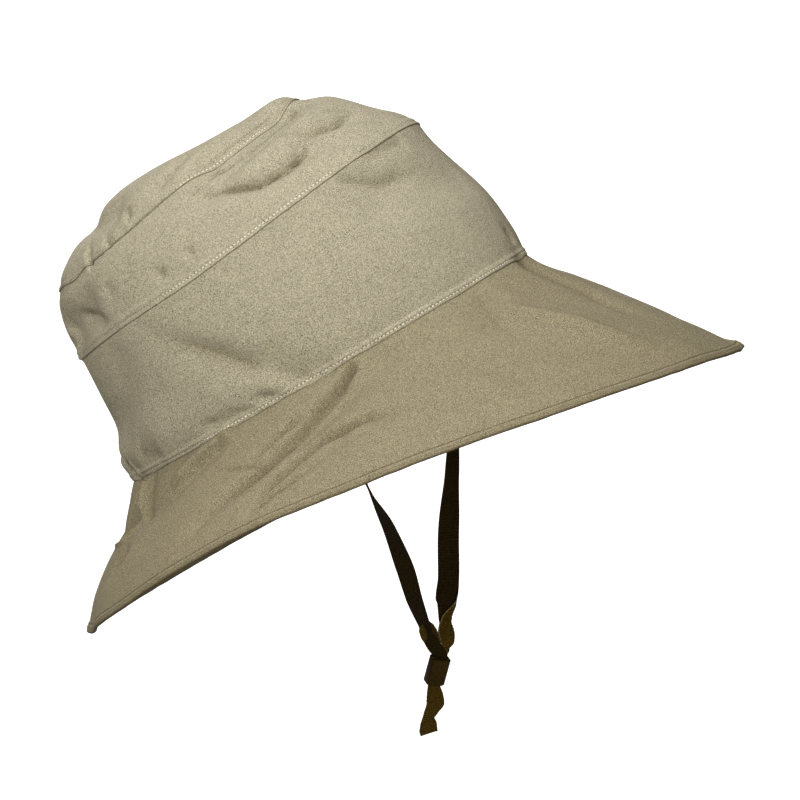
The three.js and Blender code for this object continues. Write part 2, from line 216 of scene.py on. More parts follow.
def clothFinish(name, colour, shadeColour, grainGroup):
    finish, nodes, links, shader = newFinish(name)
    grain, place = placeGrain(nodes, links, grainGroup, cloth)
    # painted shade: darker where the piece's per-point shade value is high, at crease bottoms and where the
    # hem's roll turns under
    mix = addNode(nodes, "ShaderNodeMix", {"data_type": "RGBA"})
    paintedShade = addNode(nodes, "ShaderNodeAttribute", {"attribute_name": "paintedShade"})
    links.new(paintedShade.outputs["Fac"], mix.inputs["Factor"])
    mix.inputs[6].default_value = (*colour, 1)
    mix.inputs[7].default_value = (*shadeColour, 1)
    links.new(toneColour(nodes, links, mix.outputs[2], grain.outputs["Tone"]), shader.inputs["Base Color"])
    surfaceLook(nodes, links, shader, grain.outputs["Height"], cloth)
    return finish


ribbonLook = {
    "front": (0.0185, 0.0112, 0.0018), "reverse": (0.064, 0.039, 0.0044), "selvage": (0.20, 0.15, 0.065),
    "ribPitch": 0.0007, "ribShade": 1.2, "waveTurn": 0.31416,  # a wave texture's scale times its pitch
    "grainScale": 1500, "grain": 1.5, "mottleScale": 90, "mottle": 0.5,
    "roughness": 0.75, "specular": 0.05, "bump": 0.7, "bumpDistance": 0.0002,
}


def ribbonFinish(name, side, grainGroup):
    finish, nodes, links, shader = newFinish(name)
    grain, place = placeGrain(nodes, links, grainGroup, ribbonLook)
    ribs = addNode(nodes, "ShaderNodeTexWave", {"bands_direction": "Y"},
                   Scale=ribbonLook["waveTurn"] / ribbonLook["ribPitch"])
    links.new(place.outputs["UV"], ribs.inputs["Vector"])
    ribTone = addMath(nodes, links, "MULTIPLY_ADD", ribs.outputs["Fac"], ribbonLook["ribShade"])
    ribTone.node.inputs[2].default_value = 1 - ribbonLook["ribShade"] / 2
    tone = addMath(nodes, links, "MULTIPLY", grain.outputs["Tone"], ribTone)
    links.new(toneColour(nodes, links, ribbonLook[side], tone), shader.inputs["Base Color"])
    surfaceLook(nodes, links, shader, ribs.outputs["Fac"], ribbonLook)
    return finish


mouldedGrain = {"grainScale": 700, "grain": 0.5, "mottleScale": 150, "mottle": 0.4,
                "bump": 0.08, "bumpDistance": 0.0002}
mouldedLooks = {
    "paleThread": {"colour": (0.72, 0.67, 0.52), "roughness": 0.7, "specular": 0.3},
    "hemThread": {"colour": (0.13, 0.105, 0.06), "roughness": 0.8, "specular": 0.1},
    # the needle holes are dark blobs at each stitch's end: painted shade in the holes
    "needleHoleShade": {"colour": (0.035, 0.027, 0.014), "roughness": 0.9, "specular": 0.1},
    "sliderPlastic": {"colour": (0.032, 0.0190, 0.0022), "roughness": 0.32, "specular": 0.05},
}


def moulded(name, grainGroup):
    look = {**mouldedGrain, **mouldedLooks[name]}
    finish, nodes, links, shader = newFinish(name)
    grain, place = placeGrain(nodes, links, grainGroup, look)
    links.new(toneColour(nodes, links, look["colour"], grain.outputs["Tone"]), shader.inputs["Base Color"])
    surfaceLook(nodes, links, shader, grain.outputs["Height"], look)
    return finish


hatForm = {
    "pitch": 33.6,  # degrees the front is raised
    # rings from the top down: front x, back x, half width, front z, side z, back z
    "rings": [
        (-8, -32, 8, 116, 117, 117),
        (12, -50, 30, 115, 116, 115.5),
        (32, -70, 47, 114, 111, 109.5),
        (41, -88, 57, 113.4, 101, 98.4),
        (46, -95.5, 60, 110, 95.8, 90.8),
        (61, -99.5, 67, 104.5, 89, 85),
        (76, -102, 73, 91, 78, 73),
        (90, -101.2, 79.5, 73.5, 61.5, 60),
        (95, -102, 83, 54, 45, 40),
        (101, -103.3, 85.5, 33, 28, 24),
        (103.5, -111.3, 87.5, 14.5, 11, 12.5),
        (104, -109.5, 87, -1, -1.3, 1),
    ],
    "seams": (0, 4, 7, 11),  # the rings at the crown's top and at its three seams
    "reach": (59, 62, 60, 57, 51),  # the brim from the front round to the back
    "drop": (80.5, 70.5, 50.5, 48.5, 49),
    "rimLean": 13.5,  # how far the rim is lowered at the left front and raised at the right front
    "leanPeak": 1.3,  # the most that the lean's curve reaches
    "sag": 1.2,
    "heart": 30,  # height of the point inside the crown that folds face away from
    "columns": 600,
}
ringTable = np.array(hatForm["rings"], float)
seamRows = np.array(hatForm["seams"])
pastSeam = 1e-6  # a level just past a seam, so that it falls in the right panel

# dents and folds: points as (degrees from the front, level), width, depth;
# level 0 to 1 is the tip, to 2 the upper band, to 3 the lower band and to 4 the brim
folds = [
    ([(-46, 1.06), (-12, 1)], 12.5, -6.2),
    ([(-104, 0.56), (-135, 0.5), (-165, 0.42)], 9, -4.5),
    ([(-138, 0.86), (-158, 0.78)], 10, 1),
    ([(2, 0.62), (16, 0.66)], 10, 2),
    ([(-20, 0.2), (20, 0.15)], 12, -1.3),
    ([(-72, 0.62), (-58, 0.46)], 5, -2),
    ([(55, 0.55), (100, 0.7)], 9, -3),
    ([(150, 0.6), (172, 0.72)], 10, -2.5),
    ([(-62, 1.36), (-30, 1.33), (2, 1.2)], 4.5, -2.2),
    ([(-62, 1.43), (-50, 1.7), (-25, 1.74)], 5, -2.6),
    ([(-27, 1.4), (-22, 1.62), (-7, 1.7)], 3.5, -1.5),
    ([(-122, 1.62), (-140, 1.72)], 9, -4),
    ([(62, 1.4), (84, 1.66), (112, 1.62)], 7, -3),
    ([(168, 1.35), (190, 1.7)], 9, -3),
    ([(-122, 2.2), (-136, 2.5), (-140, 2.8)], 12, -2.5),
    ([(-156, 2.66), (-143, 2.96)], 4, -3.5),
    ([(-78, 2.68), (-68, 3)], 7, -1.8),
    ([(-28, 2.25), (0, 2.38)], 11, -2),
    ([(70, 2.5), (100, 2.75)], 12, -2.5),
    ([(150, 2.35), (164, 2.75)], 10, -3),
    ([(-66, 3.2), (-84, 3.5), (-100, 3.7)], 6, -2.4),
    ([(-100, 3.08), (-118, 3.3), (-139, 3.34)], 6, -2.4),
    ([(-69, 3.6), (-87, 3.7)], 6, -1.8),
    ([(-54, 3.1), (-76, 3.42)], 6, -2.2),
    ([(-128, 3.08), (-126, 3.32)], 5, -2),
    ([(-23, 3.12), (-14, 3.5)], 12, 2),
    ([(-14, 3.5), (-4, 3.88)], 12, 1.6),
    ([(58, 3.12), (80, 3.5), (98, 3.72)], 9, -3.2),
    ([(30, 3.2), (38, 3.8)], 14, 2.4),
    ([(128, 3.12), (140, 3.7)], 10, -3),
    ([(176, 3.15), (170, 3.75)], 10, -2.4),
    ([(20, 3.06), (42, 3.2)], 13, -2),
    ([(20, 1.56), (32, 1.54)], 8, -1.4),
    ([(8, 1.86), (18, 1.88)], 8, 1.4),
    ([(22, 2.1), (32, 2.12)], 8, -1.2),
    ([(-162, 3.2), (-146, 3.38)], 8, -2.2),
    ([(-158, 3.88), (-154, 3.98)], 9, -2.2),
    ([(-146, 3.9), (-139, 4)], 9, -1.8),
    ([(20, 3.97), (23, 3.99)], 4.5, 2.2),
]

# finer creases that only the cloth shows: points, width, depth, and how steep the left side is
# as the crease is followed
creases = [
    ([(-112, 0.98), (-114, 0.8), (-121, 0.62)], 2.6, -2.4, 0.5),
    ([(-104, 0.66), (-99, 0.92)], 2, -1.1, 1),
    ([(-97, 0.69), (-95, 0.92)], 2, 0.4, 1),
    ([(-91, 0.6), (-87, 0.78)], 2.4, -1.5, 1),
    ([(-61, 0.49), (-66, 0.55), (-71, 0.64)], 3, -2.5, 0.7),
    ([(-52, 0.64), (-55, 0.79)], 2.2, -1.2, 1),
    ([(-21, 0.78), (-13, 0.76)], 2.2, -0.9, 1),
    ([(-63, 1.34), (-57, 1.52), (-51, 1.68), (-42, 1.72), (-33, 1.7), (-26, 1.64)], 2.6, -2.8, 0.4),
    ([(-50, 1.06), (-38, 1.18), (-26, 1.16), (-16, 1.12), (0, 1.08)], 2.4, -2.6, 0.5),
    ([(-67, 1.32), (-58, 1.2), (-50, 1.06)], 2, -1.3, 0.6),
    ([(-28, 1.4), (-26, 1.58), (-15, 1.66), (-4, 1.64)], 2.3, -2, 0.5),
    ([(-10, 1.48), (0, 1.62)], 2, -1.2, 0.6),
    ([(-40, 1.74), (-32, 1.62), (-22, 1.62)], 2.6, -1.2, 0.5),
    ([(-133, 1.55), (-124, 1.7), (-114, 1.88)], 5, -2.4, 0.6),
    ([(-90, 1.74), (-90, 1.84)], 3, -1.8, 1),
    ([(-80, 1.74), (-79, 1.84)], 2.2, -1.1, 1),
    ([(-108, 1.48), (-108, 1.7)], 3, -0.9, 1),
    ([(-150, 1.6), (-144, 1.77), (-149, 1.97)], 2.5, 1.3, 1),
    ([(-103, 2.15), (-92, 2.43), (-84, 2.62), (-78, 2.74)], 8, -2.6, 0.7),
    ([(-78, 2.74), (-72, 2.95)], 4, -1.0, 0.6),
    ([(-83, 2.8), (-76, 2.9)], 5, 1.4, 1),
    ([(-86, 2.85), (-80, 2.96)], 2.6, -1.0, 0.8),
    ([(-94, 2.86), (-88, 2.96)], 2.6, -0.9, 0.8),
    ([(-102, 2.84), (-95, 2.93)], 4, -1.4, 0.8),
    ([(-118, 2.88), (-132, 2.7)], 8, -2.3, 1),
    ([(-143, 2.8), (-138, 2.97)], 1.5, 1.3, 1),
    ([(-20, 2.03), (-8, 2.06)], 4, -1.3, 1),
    ([(-33, 2.08), (-25, 2.2), (-13, 2.24)], 4.5, -1.6, 0.7),
    ([(7, 2.76), (9, 2.9)], 3, -1.7, 1),
    ([(-97, 3.02), (-108, 3.1), (-117, 3.22)], 3.9, 3.6, 0.4),
    ([(-99, 3.66), (-91, 3.55), (-84, 3.46), (-79, 3.35), (-73, 3.24), (-62, 3.06)], 2.9, -4.8, 0.5),
    ([(-91, 3.4), (-82, 3.26), (-75, 3.2)], 2.4, -2.9, 0.5),
    ([(-87, 3.84), (-85, 3.72), (-79, 3.58), (-72, 3.5), (-63, 3.5), (-56, 3.6)], 2.9, -4.3, 0.5),
    ([(-88, 3.88), (-83, 3.79), (-74, 3.7)], 2.2, -2.8, 0.5),
    ([(-98, 3.3), (-86, 3.46)], 1.5, -1.5, 0.5),
    ([(-140, 3.05), (-139, 3.26)], 2.6, -3.8, 1),
    ([(-132, 3.06), (-130, 3.28)], 1.5, 2.5, 1),
    ([(-129, 3.3), (-136, 3.42), (-148, 3.44)], 1.5, 2, 1),
    ([(-128, 3.5), (-135, 3.66)], 5.2, -3.4, 1),
    ([(5, 3.06), (7, 3.3), (2, 3.6)], 7, -4.2, 1),
    ([(-26, 3.12), (-19, 3.37), (-15, 3.61), (-9, 3.86)], 4.5, 2.9, 1),
    ([(-26, 3.06), (-29, 3.35)], 8, -2.2, 1),
    ([(-43, 3.51), (-39, 3.81)], 6, 1.7, 1),
    ([(60, 1.3), (76, 1.44), (92, 1.5)], 4, -1.9, 0.6),
    ([(120, 1.7), (134, 1.66), (150, 1.55)], 4, -1.8, 0.6),
    ([(48, 2.8), (80, 2.93)], 4, -1.8, 0.6),
    ([(120, 2.55), (134, 2.7), (146, 2.8)], 5, -2.2, 0.6),
    ([(186, 2.5), (204, 2.72)], 5, -2.0, 0.7),
    ([(64, 3.6), (80, 3.36), (96, 3.1)], 5, -3.2, 0.5),
    ([(110, 3.7), (118, 3.4), (124, 3.08)], 5, -3.0, 0.5),
    ([(158, 3.1), (154, 3.5)], 4.5, -2.6, 0.6),
    ([(196, 3.1), (200, 3.6)], 5, -2.8, 0.5),
]


def roundHat(values, angle):
    # a smooth curve round the hat through values at even steps from the front to the back
    last = len(values) - 1
    total = 0
    for k in range(last + 1):
        wave = sum((0.5 if j in (0, last) else 1) * values[j] * math.cos(math.pi * k * j / last)
                   for j in range(last + 1))
        total = total + (1 if k in (0, last) else 2) * wave * np.cos(k * angle)
    return total / last


def ringPoints(row, angle):
    frontX, backX, halfWidth, frontZ, sideZ, backZ = np.moveaxis(ringTable[row], -1, 0)
    x = (frontX + backX) / 2 + (frontX - backX) / 2 * np.cos(angle)
    y = halfWidth * np.sin(angle)
    z = roundHat((frontZ, sideZ, backZ), angle)
    return np.stack([x, y, z], -1)


def crownSurface(angle, level):
    panel = np.clip(np.ceil(level).astype(int) - 1, 0, 2)
    first, last = seamRows[panel], seamRows[panel + 1]
    along = (level - panel) * (last - first)
    row = np.clip(np.floor(along).astype(int), 0, last - first - 1)
    t = (along - row)[..., None]
    start = ringPoints(first + row, angle)
    end = ringPoints(first + row + 1, angle)
    rowBefore = ringPoints(np.maximum(first + row - 1, 0), angle)
    rowAfter = ringPoints(np.minimum(first + row + 2, len(ringTable) - 1), angle)
    before = np.where((row > 0)[..., None], rowBefore, 2 * start - end)
    after = np.where((first + row + 2 <= last)[..., None], rowAfter, 2 * end - start)
    return 0.5 * (2 * start + (end - before) * t + (2 * before - 5 * start + 4 * end - after) * t ** 2
                  + (3 * start - before - 3 * end + after) * t ** 3)


def brimSurface(angle, share):
    frontX, backX, halfWidth = ringTable[-1, :3]
    point = ringPoints(np.full(np.shape(angle), len(ringTable) - 1), angle)
    outX = 2 * np.cos(angle) / (frontX - backX)
    outY = np.sin(angle) / halfWidth
    size = np.hypot(outX, outY)
    reach = roundHat(hatForm["reach"], angle)
    lean = hatForm["rimLean"] * np.sin(angle) * (1 + np.cos(angle)) / hatForm["leanPeak"]
    drop = roundHat(hatForm["drop"], angle) + lean
    slope = np.hypot(reach, drop)
    sag = hatForm["sag"] * np.sin(2 * math.pi * share)
    out = reach * share - sag * drop / slope
    down = drop * share + sag * reach / slope
    return point + np.stack([outX / size * out, outY / size * out, -down], -1)


def plainSurface(angle, level):
    crown = crownSurface(angle, np.minimum(level, 3.0))
    brim = brimSurface(angle, np.maximum(level - 3.0, 0))
    return np.where((level > 3)[..., None], brim, crown)


def unit(vectors):
    return vectors / np.maximum(np.linalg.norm(vectors, axis=-1, keepdims=True), 1e-12)


def surfaceNormals(angle, level):
    step = 0.01
    panel = np.maximum(np.ceil(level) - 1, 0)
    upper = np.maximum(level - step, panel + pastSeam)
    lower = np.maximum(level + step, upper + step)
    across = plainSurface(angle + step, level) - plainSurface(angle - step, level)
    down = plainSurface(angle, lower) - plainSurface(angle, upper)
    return unit(np.cross(down, across))


def foldPath(line):
    steps = 8
    pairs = [np.array(a) + (np.array(b) - np.array(a)) * k / steps
             for a, b in zip(line, line[1:]) for k in range(steps)] + [np.array(line[-1])]
    places = np.array(pairs)
    return plainSurface(np.radians(places[:, 0]), places[:, 1])


# the last settings give painted shade: how much a valley crease's bottom and steep side are darkened as if in
# shadow
creaseLook = {
    "reach": 3,  # how many widths away a fold still moves the cloth
    "nearSeam": 0.1, "endDepth": 0.2, "endRun": 0.3,  # how a crease dies out at its ends
    "creaseShade": 0.2, "creaseShadeMost": 0.8,  # how much the bottom darkens with each mm of depth, and at most
    "creaseShadeShallow": 0.35, "creaseShadeWidth": 0.5, "creaseShadeExtra": 0.4,  # on the shallow side, and how wide
}


def endFade(end, share):
    # a crease dies out in open cloth and keeps its depth where it runs into a seam
    if abs(end[1] - round(end[1])) < creaseLook["nearSeam"]:
        return 1
    least = creaseLook["endDepth"]
    return least + (1 - least) * smooth(share / creaseLook["endRun"])


def foldDepth(points):
    # how far the folds move each point, and how much painted shade darkens each crease's bottom
    flat = points.reshape(-1, 3)
    depth = np.zeros(len(flat))
    creaseShade = np.zeros(len(flat))
    for line, width, deep, *steep in folds + creases:
        path = foldPath(line)
        reachOut = creaseLook["reach"] * width
        near = np.all((flat > path.min(0) - reachOut) & (flat < path.max(0) + reachOut), axis=1)
        close = flat[near]
        away = np.full(len(close), 1e9)
        leftShare = np.zeros(len(close))
        along = np.zeros(len(close))
        outward = unit(close - np.array([0, 0, hatForm["heart"]]))
        for k, (a, b) in enumerate(zip(path, path[1:])):
            span = b - a
            t = np.clip((close - a) @ span / max(span @ span, 1e-9), 0, 1)
            gone = close - a - t[:, None] * span
            distance = np.linalg.norm(gone, axis=1)
            nearer = distance < away
            left = np.sum(np.cross(unit(span), gone) * outward, axis=1) / np.maximum(distance, 1e-6)
            leftShare[nearer] = left[nearer]
            along[nearer] = (k + t[nearer]) / (len(path) - 1)
            away[nearer] = distance[nearer]
        widths = width * (steep[0] if steep else 1) ** np.clip(leftShare, 0, 1)
        fade = endFade(line[0], along) * endFade(line[-1], 1 - along) if steep else 1
        depth[near] += deep * fade * np.exp(-(away / widths) ** 2)
        # painted shade: the bottom and steep side of a valley crease darkened as its shadow
        if steep and deep < 0:
            shallow = creaseLook["creaseShadeShallow"]
            onSteepSide = shallow + (1 - shallow) * np.clip(leftShare, 0, 1)
            creaseShadeWidths = creaseLook["creaseShadeWidth"] * widths + creaseLook["creaseShadeExtra"]
            creaseShade[near] -= deep * creaseLook["creaseShade"] * fade * onSteepSide * np.exp(-(away / creaseShadeWidths) ** 2)
    creaseShade = np.clip(creaseShade, 0, creaseLook["creaseShadeMost"])
    return depth.reshape(points.shape[:-1]), creaseShade.reshape(points.shape[:-1])


rumple = {"broad": 0.5, "broadSize": 26, "fine": 0.14, "fineSize": 9, "fineShift": 300}


def rumpleDepth(points):
    values = []
    for x, y, z in points.reshape(-1, 3):
        broad = noise.noise(Vector((x, y, z)) / rumple["broadSize"])
        fine = noise.noise(Vector((x, y, z + rumple["fineShift"])) / rumple["fineSize"])
        values.append(rumple["broad"] * broad + rumple["fine"] * fine)
    return np.array(values).reshape(points.shape[:-1])


# gathers by each seam: how high, how long round the seam, how far they run up and down the cloth
gathers = {1: (0.22, 5.5, 5, 6), 2: (0.22, 5.0, 5, 6), 3: (0.36, 5.5, 6, 11), 4: (0.25, 7.5, 8, 8)}
gatherShift = 50  # keeps one seam's gathers unlike the next one's


def gatherDepth(seam, angle, distance):
    high, size, upRun, downRun = gathers[seam]
    middle = plainSurface(angle[:, 0], np.full(len(angle), float(seam) - pastSeam))
    wave = np.array([noise.noise(Vector((x, y, gatherShift * seam)) / size) for x, y, z in middle])
    run = np.where(distance < 0, upRun, downRun)
    return high * wave[:, None] * np.exp(-(distance / run) ** 2)


def panelLengths(panel, angle):
    count = 41
    levels = np.linspace(panel + pastSeam, panel + 1, count)
    line = plainSurface(np.repeat(angle[:, None], count, 1), np.repeat(levels[None], len(angle), 0))
    return np.linalg.norm(np.diff(line, axis=1), axis=2).sum(1)


columnAngles = np.arange(hatForm["columns"]) * 2 * math.pi / hatForm["columns"]
lengths = [panelLengths(panel, columnAngles) for panel in range(4)]


def toRow(points):
    # from millimetres in the hat's own frame to metres in the row's frame
    c = math.cos(math.radians(hatForm["pitch"]))
    s = math.sin(math.radians(hatForm["pitch"]))
    x, y, z = np.moveaxis(points, -1, 0)
    return np.stack([x * c - z * s, y, x * s + z * c], -1) / 1000


def gridNormals(points):
    across = np.roll(points, -1, 0) - np.roll(points, 1, 0)
    down = np.gradient(points, axis=1)
    return unit(np.cross(down, across))


# where a seam or the rim wanders from its ring: seam, degrees from the front, degrees wide,
# millimetres up, and how far up and down the cloth that carries
seamShifts = [
    (1, -114, 5, 2.2, 12), (1, -124, 7, -1.8, 12), (2, -114, 22, 1.2, 16), (4, -69, 9, -1.2, 14),
    (4, -149, 8, 1.3, 12),
]


def levelAt(panel, angle, downs):
    # the level at distances down from a panel's upper seam, which may run past either of its seams
    length = lengths[panel][:, None]
    shifted = downs.copy()
    for seam, middle, wide, up, run in seamShifts:
        if seam not in (panel, panel + 1):
            continue
        away = (np.degrees(angle) - middle + 180) % 360 - 180
        distance = downs - (length if seam == panel + 1 else 0)
        shifted -= up * np.exp(-(away / wide) ** 2) * np.exp(-(distance / run) ** 2)
    before = lengths[max(panel - 1, 0)][:, None]
    after = lengths[min(panel + 1, 3)][:, None]
    within = np.where(shifted > length, 1 + (shifted - length) / after, shifted / length)
    top = 1e-4
    return np.maximum(panel + np.where(shifted < 0, shifted / before, within), top)


def clothBase(panel, downs):
    # the folded surface of one panel at distances down from its upper seam, before its lapped edge
    length = lengths[panel][:, None]
    angle = np.repeat(columnAngles[:, None], downs.shape[1], 1)
    level = levelAt(panel, angle, downs)
    plain = plainSurface(angle, level)
    depth, creaseShade = foldDepth(plain)
    depth += rumpleDepth(plain)
    if panel > 0:
        depth += gatherDepth(panel, angle, downs)
    depth += gatherDepth(panel + 1, angle, downs - length)
    return plain + surfaceNormals(angle, level) * depth[..., None], creaseShade


def smooth(values):
    t = np.clip(values, 0, 1)
    return t * t * (3 - 2 * t)


lap = {"wall": 0.45, "step": 0.6, "turnStart": 5.0, "turnEnd": 2.6, "stitchLine": 1.6, "stitchDip": 0.2,
       "stitchGroove": 0.5, "edgeRoll": 0.1, "rollRun": 0.5, "tongue": 2.6, "denseEdge": 5.2, "tipHole": 0.3,
       "shade": 40}


def lapOut(fromEdge):
    # how far a panel stands out near its lower edge, where it laps over the next one
    rise = lap["step"] * smooth((lap["turnStart"] - fromEdge) / (lap["turnStart"] - lap["turnEnd"]))
    dip = lap["stitchDip"] * np.exp(-((fromEdge - lap["stitchLine"]) / lap["stitchGroove"]) ** 2)
    roll = lap["edgeRoll"] * smooth(1 - fromEdge / lap["rollRun"])
    return rise - dip - roll


panels = {
    "crownTip": {"panel": 0, "rows": 58, "edgeRows": 17, "node": "crown_tip", "slot": "crown_cloth",
                 "flat": (0.138, 0.150), "area": 0.0157, "held": "draped"},
    "upperBand": {"panel": 1, "rows": 38, "edgeRows": 17, "node": "upper_crown_band", "slot": "crown_cloth",
                  "flat": (0.18, 0.36), "area": 0.0227, "held": "draped"},
    "lowerBand": {"panel": 2, "rows": 52, "edgeRows": 17, "node": "lower_crown_band", "slot": "crown_cloth",
                  "flat": (0.126, 0.59), "area": 0.0412, "held": "draped"},
    "brimCloth": {"panel": 3, "rows": 78, "edgeRows": 0, "node": "brim", "slot": "brim_cloth",
                  "flat": (0.356, 0.44), "area": 0.0685, "held": "hung"},
}
hem = {"width": 5.0, "cover": 1.0, "stitchLine": 4.0, "lineOut": 0.2, "nearRim": 0.2, "shade": 50,
       "flat": (0.0115, 0.985), "area": 0.0101}


def panelRows(panel, spec):
    length = lengths[panel][:, None]
    start = lap["tipHole"] if panel == 0 else -lap["tongue"]
    if panel == 3:
        shares = np.linspace(0, 1, spec["rows"])
        return start + (length - hem["cover"] - start) * shares[None]
    shares = np.linspace(0, 1, spec["rows"], endpoint=False)
    upper = start + (length - lap["denseEdge"] - start) * shares[None]
    lower = length - lap["denseEdge"] * (1 - np.linspace(0, 1, spec["edgeRows"])[None])
    return np.concatenate([upper, lower], 1)


def select(piece):
    bpy.ops.object.select_all(action="DESELECT")
    piece.select_set(True)
    bpy.context.view_layer.objects.active = piece


def newPiece(name, points, faces, finish, uvs=None):
    mesh = bpy.data.meshes.new(name)
    mesh.from_pydata([tuple(p) for p in points], [], faces)
    piece = bpy.data.objects.new(name, mesh)
    bpy.context.scene.collection.objects.link(piece)
    mesh.materials.append(finish)
    if uvs is not None:
        layer = mesh.uv_layers.new(name="UVMap")
        layer.data.foreach_set("uv", np.array(uvs, float).ravel())
    return piece


# stores per point how much painted shade darkens the piece
def setPaintedShade(piece, values):
    paintedShade = piece.data.attributes.new("paintedShade", "FLOAT", "POINT")
    values = np.resize(values, len(piece.data.vertices))
    paintedShade.data.foreach_set("value", values)


def applyModifiers(piece):
    select(piece)
    for modifier in list(piece.modifiers):
        bpy.ops.object.modifier_apply(modifier=modifier.name)


def smoothShade(piece, degrees):
    select(piece)
    bpy.ops.object.shade_smooth_by_angle(angle=math.radians(degrees))


def tubeFaces(columns, rows, closedColumns=True, closedRows=False):
    faces = []
    for i in range(columns if closedColumns else columns - 1):
        j = (i + 1) % columns
        for k in range(rows if closedRows else rows - 1):
            m = (k + 1) % rows
            faces.append((i * rows + k, i * rows + m, j * rows + m, j * rows + k))
    return faces


def clothPanel(name, finish):
    spec = panels[name]
    panel = spec["panel"]
    downs = panelRows(panel, spec)
    base, creaseShade = clothBase(panel, downs)
    normals = gridNormals(base)
    if panel < 3:
        base = base + normals * lapOut(lengths[panel][:, None] - downs)[..., None]
    columns, rows = downs.shape
    points = list(toRow(base).reshape(-1, 3))
    faces = tubeFaces(columns, rows)
    if panel == 0:
        points.append(toRow(base[:, 0].mean(0)))
        top = len(points) - 1
        faces += [(top, i * rows, ((i + 1) % columns) * rows) for i in range(columns)]
    piece = newPiece(name, points, faces, finish)
    setPaintedShade(piece, creaseShade.ravel())
    wall = piece.modifiers.new("wall", "SOLIDIFY")
    wall.thickness = lap["wall"] / 1000
    wall.offset = -1
    applyModifiers(piece)
    smoothShade(piece, lap["shade"])
    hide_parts(spec["node"])
    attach(piece, "root")
    print(name, len(piece.data.polygons), "faces")
    return base, downs, piece


def clothHem(finish):
    # a folded band over the brim's cut edge, open upwards, seen in section as down the cloth, out of it,
    # and how much painted shade darkens it, darkest under the roll, less inside it and in the stitch groove
    section = [
        (-4.9, 0.1, 0), (-4.95, 0.3, 0), (-4.8, 0.42, 0), (-4.45, 0.4, 0), (-4.0, 0.1, 0.35),
        (-3.55, 0.44, 0), (-2.8, 0.6, 0), (-2.1, 0.56, 0.08), (-1.65, 0.36, 0.35), (-1.3, 0.36, 0.25),
        (-0.75, 0.34, 0.25), (-0.15, 0.06, 0.65), (0.15, -0.4, 1), (0.1, -0.85, 1), (-0.35, -1.25, 1),
        (-1.2, -1.42, 0.7), (-2.6, -1.42, 0.3), (-4.8, -1.2, 0.2), (-4.9, -0.9, 0.2),
        (-2.6, -0.85, 0.3), (-0.85, -0.82, 0.3), (-0.7, -0.35, 0.3), (-0.85, 0.1, 0.3), (-2.6, 0.1, 0.3),
    ]
    length = lengths[3][:, None]
    downs = np.concatenate([length - hem["width"], length - hem["nearRim"], length], 1)
    base, creaseShade = clothBase(3, downs)
    top, near, rim = base[:, 0], base[:, 1], base[:, 2]
    normals = gridNormals(base)[:, 1]
    along = unit(rim - top)
    loops = np.stack([rim + along * d + normals * o for d, o, rollShade in section], 1)
    columns, rows = loops.shape[:2]
    faces = tubeFaces(columns, rows, True, True)
    piece = newPiece("brimHem", toRow(loops).reshape(-1, 3), faces, finish)
    hemShade = np.array([rollShade for d, o, rollShade in section])
    # painted shade of the roll and groove, added to the creases' painted shade
    setPaintedShade(piece, np.clip(creaseShade[:, 2:] + hemShade, 0, 1).ravel())
    smoothShade(piece, hem["shade"])
    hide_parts("brim_hem")
    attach(piece, "root")
    line = rim - along * hem["stitchLine"] + normals * hem["lineOut"]
    print("brimHem", len(piece.data.polygons), "faces")
    return line, normals, piece


stitch = {"pitch": 1.95, "length": 1.2, "radius": 0.27, "wide": 2.1, "high": 1.5, "sunk": 0.02,
          "hole": 0.42, "holeWide": 1.3, "holeHigh": 0.5, "segments": 8, "rings": 5,
          "ahead": 0.6, "sway": 0.12, "swayStep": 2.4, "pullRun": 16, "wanderSize": 9, "shade": 80}
# where round each seam the thread stands proud, in degrees, and how deep it is pulled in elsewhere
threadPull = {
    "crownTip": {"middle": 52, "shown": 25, "most": 0.22, "wander": 0.14},
    "upperBand": {"middle": 66, "shown": 26, "most": 0.22, "wander": 0.14},
    "lowerBand": {"middle": 56, "shown": 44, "most": 0.22, "wander": 0.14},
    "brimHem": {"middle": 60, "shown": 180, "most": 0.1, "wander": 0.12},
}


def stitchShape():
    # one stitch: a low capsule 1 long and 1 round, made once
    bpy.ops.object.select_all(action="DESELECT")
    bpy.ops.mesh.primitive_uv_sphere_add(segments=stitch["segments"], ring_count=stitch["rings"], radius=0.5)
    model = bpy.context.object
    points = np.array([v.co for v in model.data.vertices])
    faces = [tuple(p.vertices) for p in model.data.polygons]
    bpy.data.objects.remove(model)
    return points, faces


def lineAt(base, downs, lengthAround, fromEdge, out):
    # a line round the hat at one distance above a panel's lower edge, lifted out of the cloth
    normals = gridNormals(base)
    line, lift = [], []
    for i in range(len(base)):
        down = lengthAround[i] - fromEdge
        k = int(np.clip(np.searchsorted(downs[i], down) - 1, 0, downs.shape[1] - 2))
        t = (down - downs[i, k]) / (downs[i, k + 1] - downs[i, k])
        line.append(base[i, k] * (1 - t) + base[i, k + 1] * t)
        lift.append(normals[i, k])
    lift = unit(np.array(lift))
    return np.array(line) + lift * out, lift


